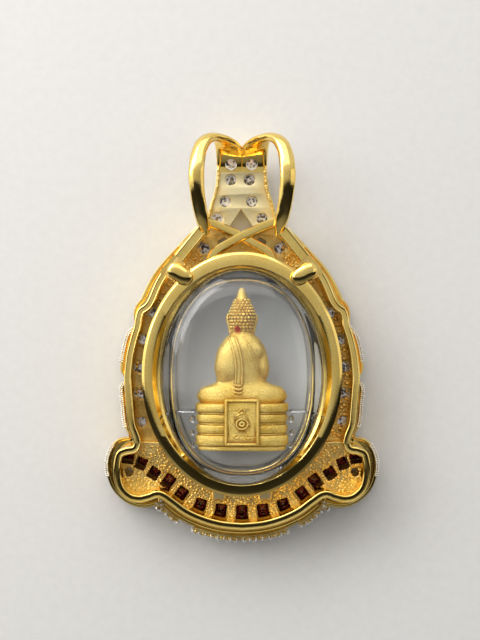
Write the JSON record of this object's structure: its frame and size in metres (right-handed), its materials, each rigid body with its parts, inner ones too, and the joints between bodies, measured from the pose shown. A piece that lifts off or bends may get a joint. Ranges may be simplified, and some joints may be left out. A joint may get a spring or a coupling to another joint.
{
  "type": "thai buddha amulet pendant",
  "caption": "Gold pendant lying face down: looped bail, stone-set frame, lock ring and a clear domed capsule that holds a small seated figure.",
  "frame": {"origin": "centre of the pendant's box in X and Y, on the plane that its front lip rests on", "axes": "+X across the pendant to the right as seen from its back, +Y towards the bail, +Z out of the back"},
  "size_m": [0.0356, 0.0523, 0.0102],
  "materials": {
    "gold": "polished yellow gold, satin in the recesses",
    "satin_gold": "sandblasted yellow gold",
    "clear_acrylic": "clear polished acrylic, lightly rubbed",
    "clear_stone": "faceted and polished",
    "red_stone": "faceted and polished"
  },
  "bodies": {
    "root": {"frame": "gold", "back_ring": "gold", "capsule_back": "clear_acrylic", "capsule_front": "clear_acrylic", "figure": "satin_gold", "bail_stone_1": "clear_stone", "bail_stone_2": "clear_stone", "bail_stone_3": "clear_stone", "bail_stone_4": "clear_stone", "bail_stone_5": "clear_stone", "bail_stone_6": "clear_stone", "bail_stone_7": "clear_stone", "bail_stone_8": "clear_stone", "side_stone_left_1": "clear_stone", "side_stone_left_2": "clear_stone", "side_stone_left_3": "clear_stone", "side_stone_left_4": "clear_stone", "side_stone_left_5": "clear_stone", "side_stone_right_1": "clear_stone", "side_stone_right_2": "clear_stone", "side_stone_right_3": "clear_stone", "side_stone_right_4": "clear_stone", "side_stone_right_5": "clear_stone", "shoulder_stone_left": "clear_stone", "shoulder_stone_right": "clear_stone", "red_stone_1": "red_stone", "red_stone_2": "red_stone", "red_stone_3": "red_stone", "red_stone_4": "red_stone", "red_stone_5": "red_stone", "red_stone_6": "red_stone", "red_stone_7": "red_stone", "red_stone_8": "red_stone", "red_stone_9": "red_stone", "red_stone_10": "red_stone", "red_stone_11": "red_stone", "red_stone_12": "red_stone", "red_stone_13": "red_stone", "red_stone_14": "red_stone", "red_stone_15": "red_stone"}
  },
  "joints": []
}
